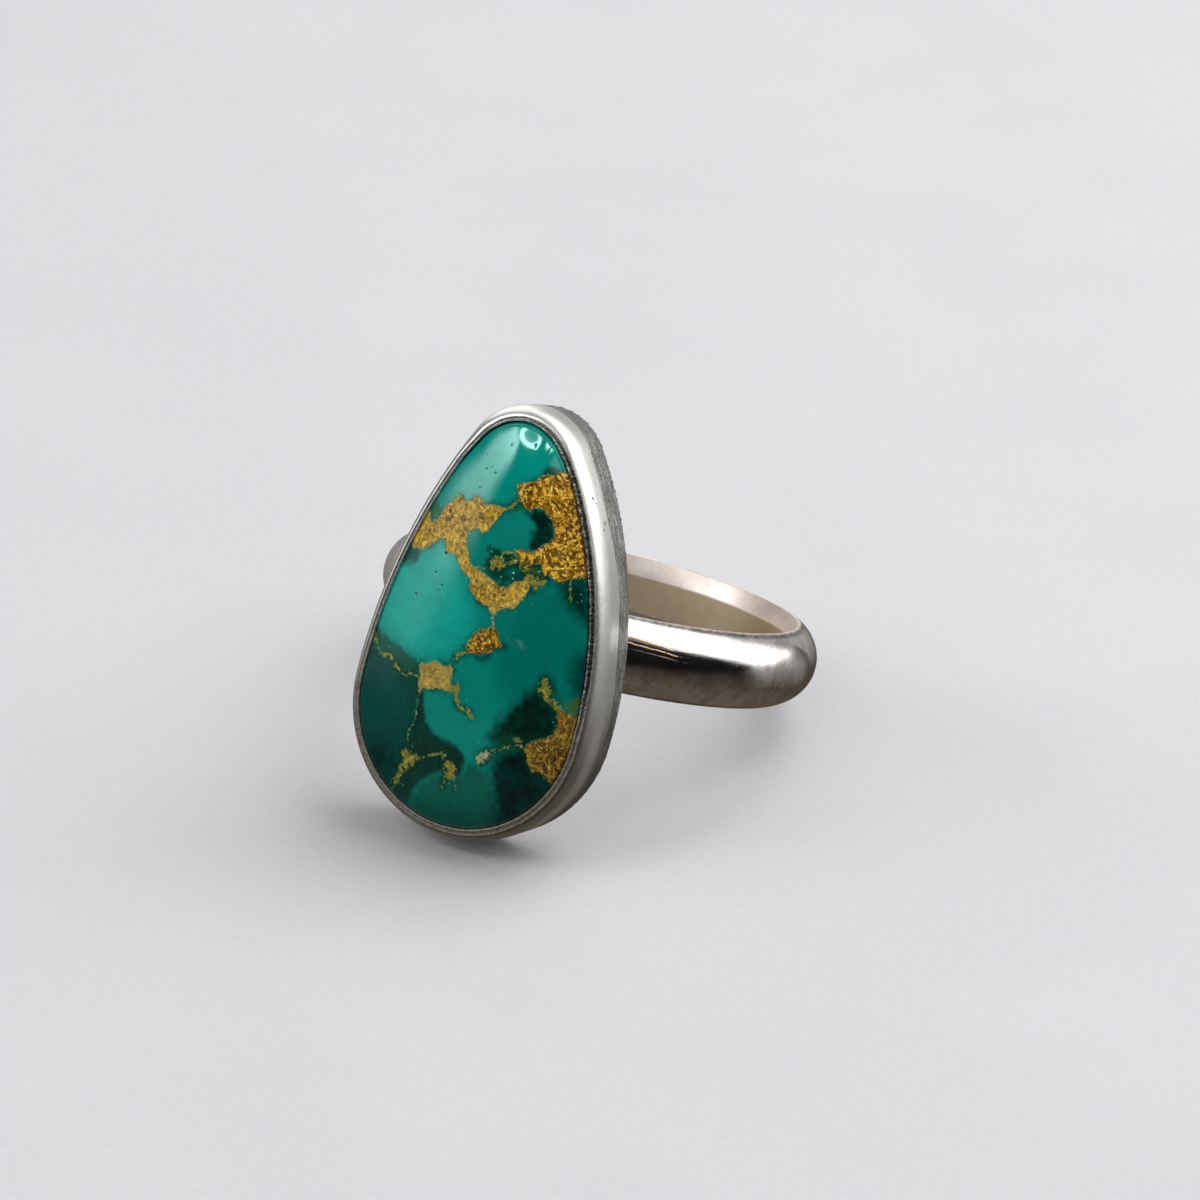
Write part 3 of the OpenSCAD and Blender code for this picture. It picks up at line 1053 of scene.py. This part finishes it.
def silver_setting_finish():
    """Satin silver, greyer where it is sanded, with painted shade in the groove, in the pocket
    under the lip and along the wall's edges round the foot, and dark in the pits.
    """
    surface = Surface("silver_satin")
    grain = surface.read("grain", "Vector")
    strip, fin, groove, lip = map(surface.read, ("strip", "fin", "groove", "lip"))
    up = surface.read("up_wall")
    smear = grain.noise(0.8, 4.0, 0.6)
    stipple = grain.noise(12.0, 2.0, 0.6)
    chip = grain.noise(7.0, 3.0, 0.7)
    sanded = grain.stretch(0.8, 0.8, 11.0).noise(1.0, 4.0, 0.7)
    pit = surface.read("pocks").math("MAXIMUM", grain.cells(0.9) < 0.03)
    # Painted shade along the inner and outer edges of the wall round the foot
    sides = up.ramp(0.35, 0.0, 0.0, 0.8) + up.ramp(0.72, 1.0, 0.0, 0.6)
    colour = paint(
        (238, 238, 234),
        (smear.ramp(0.4, 0.7, 0.0, 0.3), (200, 198, 190)),
        (stipple.ramp(0.42, 0.66, 0.0, 0.25), (160, 158, 150)),
        (surface.read("foot") * sides, (118, 114, 104)),
        (strip * sanded.ramp(0.36, 0.6, 0.4, 0.95), (98, 97, 90)),
        (strip * stipple.ramp(0.5, 0.4, 0.0, 0.8), (46, 45, 41)),
        (lip * 0.75, (150, 142, 126)),
        (lip * chip.ramp(0.5, 0.6, 0.0, 0.55), (84, 78, 66)),
        (fin * chip.ramp(0.48, 0.56, 0.0, 0.85), (66, 64, 58)),
        # Painted shade in the groove and in the pocket under the lip
        (groove * chip.ramp(0.56, 0.64, 0.92, 0.45), (28, 28, 25)),
        (surface.read("solder") * 0.3, (170, 164, 154)),
        (pit * 0.85, (40, 38, 36)),
    )
    rough = smear.ramp(0.3, 0.75, 0.32, 0.38) + lip * 0.16 + strip * 0.06
    satin = grain.stretch(3.0, 3.0, 9.0).noise(1.0, 4.0, 0.7)
    coarse = grain.stretch(2.2, 2.2, 6.0).noise(1.0, 3.0, 0.7)
    height = satin * 0.4 + grain.noise(10.0, 3.0, 0.7) * 0.8
    height += (sanded * 2.2 + coarse * 3.0) * strip
    height += grain.cells(8.0) * fin.math("MAXIMUM", groove) * 2.2 - pit * 3.0
    return surface.finish({
        "Base Color": colour,
        "Metallic": strip.ramp(0.0, 1.0, 0.93, 0.7, "LINEAR"),
        "Roughness": rough + surface.read("back") * 0.06,
        "Normal": height.bump(0.00002, 0.55),
    })


def floor_finish():
    surface = Surface("pale_floor")
    where = add_node(surface.tree, "ShaderNodeTexCoord", {}, "Object")
    fine = where.noise(2600.0, 3.0, 0.6)
    colour = paint(
        (206, 205, 207),
        (fine.ramp(0.3, 0.7, 0.0, 0.12), (180, 180, 184)),
        (where.noise(60.0, 3.0, 0.5).ramp(0.3, 0.7, 0.0, 0.06), (150, 150, 156)),
    )
    normal = fine.bump(0.00006, 0.35)
    return surface.finish({"Base Color": colour, "Roughness": 0.85, "Normal": normal})


# Stage

RING_MIDDLE = np.array([0.0, -0.004, 0.010])


def direction(azimuth, elevation):
    """Unit vectors; azimuth 0 points to the front, 90 to the right."""
    a, e = np.radians(azimuth), np.radians(elevation)
    return np.stack([np.sin(a) * np.cos(e), -np.cos(a) * np.cos(e), np.sin(e) + 0 * a], -1)


def softbox(name, azimuth, elevation, distance, size, radiance):
    """Square area light that faces the ring and has an even radiance."""
    data = bpy.data.lights.new(name, "AREA")
    data.shape = "SQUARE"
    data.size = size
    data.energy = radiance * math.pi * size ** 2
    light = add_object(name, data)
    toward = direction(azimuth, elevation)
    light.location = RING_MIDDLE + toward * distance
    light.rotation_euler = Vector(toward).to_track_quat("Z", "Y").to_euler()
    light.visible_glossy = False
    light.visible_camera = False


def glow(name, strength):
    """Emission in proportion to the value kept at the card's points, clear where it is 0."""
    surface = Surface(name)
    emission = add_node(surface.tree, "ShaderNodeEmission", {"Strength": strength})
    clear = add_node(surface.tree, "ShaderNodeBsdfTransparent", {})
    return surface.finish({0: surface.read("level"), 1: clear, 2: emission}, "ShaderNodeMixShader")


def card(name, grid, level, strength):
    """Glowing sheet through a grid of points, not seen by the camera itself."""
    at = np.arange(level.size).reshape(level.shape)
    quads = np.stack([at[:-1, :-1], at[:-1, 1:], at[1:, 1:], at[1:, :-1]], -1).reshape(-1, 4)
    sheet = make_mesh(name, grid.reshape(-1, 3), [quads], {"level": level.ravel()})
    sheet.data.materials.append(glow(name + "_glow", strength))
    sheet.visible_camera = False
    sheet.visible_shadow = False
    return sheet


CARD_DISTANCE = 0.5
CARD_STEPS = 24

# Rows of the curved light sheets: elevation, left and right azimuth, level, and the share
# of the width over which the right side fades out
SIDE_SHEET = table("""
46 -46 -37 0 .3, 43.5 -51 -34 .72 .25, 41 -55 -31.5 .7 .3, 38 -59 -30.5 .56 .3, 36 -62 -31 .5 .32,
32 -67 -32 .4 .38, 28 -70 -32 .36 .42, 24 -73 -32 .32 .45, 20 -76 -32 .3 .45, 13 -84 -30 .23 .5,
8 -90 -28 .08 .5, 3 -94 -26 .05 .5, -4 -94 -24 .02 .5, -10 -94 -24 0 .5
""")
BACK_SHEET = table("""
-40 104 172 0 .2, -28 104 172 .05 .2, -18 104 171 .08 .2, -8 106 170 .15 .3, -3 110 170 .28 .4,
1 114 170 .75 .45, 5 113 168 1 .45, 11 108 167 1 .45, 22 100 168 1 .4, 35 85 174 1 .3,
42 76 186 1 .25, 50 70 206 1 .2, 62 58 230 .95 .2, 74 34 262 .8 .2
""")
LEFT_SHEET = table("""
70 196 262 0 .3, 52 196 270 .9 .2, 34 196 272 1 .2, 22 196 264 1 .25, 6 196 246 .9 .3,
-1 198 250 .35 .3, -8 200 258 .2 .3, -24 204 258 .14 .3, -40 212 250 0 .3
""")
# What the back sheet fades to on its right, and the dimmer sheet that carries on from there
BACK_FADES_TO = 0.15
BEYOND_RIGHT = 218
BEYOND_TOP = 45
BEYOND_FADES = (-26, -12)
BEYOND_SOFT = 0.45
BEYOND_BACK = [
    (el, right, BEYOND_RIGHT, BACK_FADES_TO * np.interp(el, BEYOND_FADES, (0, 1)), BEYOND_SOFT)
    for el, _, right, _, _ in BACK_SHEET if el < BEYOND_TOP
]
# Faint patch of light high on the right
RIGHT_PATCH = table("50 10 30 0 .5, 46 10 34 1 .5, 41 16 38 .6 .5, 36 20 40 0 .5")


def light_sheet(name, rows, strength, fade_left, right_end=0.0):
    """Curved sheet round the ring, whose two sides may fade out softly."""
    down = np.linspace(0, len(rows) - 1, CARD_STEPS * 2)
    columns = [np.interp(down, np.arange(len(rows)), column) for column in np.transpose(rows)]
    elevation, left, right, strong, soft = np.array(columns)[..., None]
    across = np.linspace(0, 1, CARD_STEPS)
    grid = RING_MIDDLE + CARD_DISTANCE * direction(left + across * (right - left), elevation)
    rise = ease(0, fade_left, across) if fade_left else 1.0
    fall = ease(0, soft, 1 - across)
    level = strong * rise * (right_end + (1 - right_end) * fall)
    return card(name, grid, level, strength)


# Round lamp: azimuth and elevation, the two half axes of its slanted outline in degrees, and
# the size and level of its rings
LAMP_AT = (-26.2, 49.4)
LAMP_LONG = (9.9, 3.9)
LAMP_SHORT = (-5.5, 1.7)
LAMP_RINGS = np.array([0.0, 0.55, 0.68, 0.93, 1.02])
LAMP_LEVELS = np.array([0.1, 0.13, 1.0, 1.0, 0.0])
# Its middle level, and how much and from which angle on the lower side is brighter
LAMP_EVEN = 0.72
LAMP_SWING = 0.28
LAMP_FROM = 0.6
LAMP_CORNERS = 60


def ring_lamp():
    """Round lamp with a dark middle, which shows as a small white ring on the stone."""
    toward = direction(*LAMP_AT)
    side = np.cross([0, 0, 1], toward)
    side /= np.linalg.norm(side)
    angle = np.linspace(0, FULL_TURN, LAMP_CORNERS + 1)
    spread = [
        np.tan(np.radians(long * np.cos(angle) + short * np.sin(angle)))[:, None]
        for long, short in zip(LAMP_LONG, LAMP_SHORT)
    ]
    spokes = spread[0] * side + spread[1] * np.cross(toward, side)
    grid = RING_MIDDLE + CARD_DISTANCE * (toward + LAMP_RINGS[:, None, None] * spokes)
    level = LAMP_LEVELS[:, None] * (LAMP_EVEN - LAMP_SWING * np.sin(angle + LAMP_FROM))
    return card("ring_light", grid, level, strength=17.0)


# Bent strip of light beside the round lamp: azimuth, elevation
STREAK = table("-1 52.6, 3 51.6, 6 52.3, 8.5 52.8, 11 51.4, 14 52.2, 16 51.4")
STREAK_WIDTH = 2.3


def streak_lamp():
    """Bent strip of light, which shows as a small wavy highlight beside the ring."""
    azimuth, elevation = STREAK.T
    across = np.arange(4)[:, None] / 1.5 - 1
    grid = RING_MIDDLE + CARD_DISTANCE * direction(azimuth, elevation + STREAK_WIDTH * across)
    level = np.repeat([[0.0], [1.0], [1.0], [0.0]], len(STREAK), axis=1)
    return card("streak_light", grid, level, strength=14.0)


# What the polish mirrors away from the lights: elevation, screen colour
MIRRORED = table("""
-60 92 85 76, -14 58 52 46, -3 26 24 22, 8 20 20 20, 50 30 31 32, 72 120 122 124, 90 190 192 194
""")


def mirrored_colour(tree):
    """Colour by the height of the direction looked in."""
    where = add_node(tree, "ShaderNodeTexCoord", {}, "Generated")
    height = add_node(tree, "ShaderNodeSeparateXYZ", {0: where}, "Z").ramp(-1, 1, kind="LINEAR")
    colour = height.node("ShaderNodeValToRGB", {0: height})
    stops = colour.socket.node.color_ramp.elements
    while len(stops) < len(MIRRORED):
        stops.new(0.5)
    for stop, (elevation, *tone) in zip(stops, MIRRORED):
        stop.position = 0.5 + 0.5 * math.sin(math.radians(elevation))
        stop.color = (*srgb(*tone), 1)
    return colour


def world_light():
    """Pale surroundings, with a darker studio in what the polish mirrors."""
    world = bpy.data.worlds.new("studio")
    world.use_nodes = True
    tree = world.node_tree
    tree.nodes.clear()
    dark = add_node(tree, "ShaderNodeBackground", {"Color": mirrored_colour(tree)})
    even = {"Color": (*srgb(196, 198, 204), 1), "Strength": 0.55}
    pale = add_node(tree, "ShaderNodeBackground", even)
    glossy = add_node(tree, "ShaderNodeLightPath", {}, "Is Glossy Ray")
    both = add_node(tree, "ShaderNodeMixShader", {0: glossy, 1: pale, 2: dark})
    add_node(tree, "ShaderNodeOutputWorld", {0: both})
    world.cycles.sampling_method = "NONE"
    bpy.context.scene.world = world


FLOOR_R = 3.0
FLOOR_CORNERS = 96


def make_floor():
    mesh = bpy.data.meshes.new("floor")
    angle = np.linspace(0, FULL_TURN, FLOOR_CORNERS + 1)[:-1]
    corners = [(FLOOR_R * math.cos(a), FLOOR_R * math.sin(a), 0.0) for a in angle]
    mesh.from_pydata(corners, [], [list(range(len(corners)))])
    floor = add_object("floor", mesh)
    floor.data.materials.append(floor_finish())
    floor.visible_glossy = False


def make_camera():
    data = bpy.data.cameras.new("camera")
    data.lens = LENS_MM
    data.sensor_width = SENSOR_MM
    data.clip_start = 0.01
    camera = add_object("camera", data)
    turn = Matrix((CAMERA_RIGHT, CAMERA_UP, CAMERA_BACK)).transposed()
    camera.matrix_world = Matrix.Translation(CAMERA_AT) @ turn.to_4x4()
    bpy.context.scene.camera = camera


def dress(piece, material, node):
    piece.data.materials.append(material)
    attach(piece, "root")
    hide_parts(node)


def main():
    bpy.context.scene.view_settings.view_transform = "Standard"
    make_camera()
    make_floor()
    world_light()
    softbox("top_light", azimuth=158, elevation=58, distance=0.6, size=0.4, radiance=2.4)
    light_sheet("side_light", SIDE_SHEET, 9.0, 0.2)
    light_sheet("back_light", BACK_SHEET, 2.4, 0.26, BACK_FADES_TO)
    light_sheet("beyond_back_light", BEYOND_BACK, 2.4, 0.0).visible_diffuse = False
    light_sheet("left_light", LEFT_SHEET, 1.5, 0.3).visible_diffuse = False
    light_sheet("right_patch", RIGHT_PATCH, 1.5, 0.5).visible_diffuse = False
    ring_lamp()
    streak_lamp()
    dress(build_band(), silver_band_finish(), "silver_mount")
    dress(build_setting(), silver_setting_finish(), "silver_mount")
    dress(build_stone(), turquoise(), "stone")


main()
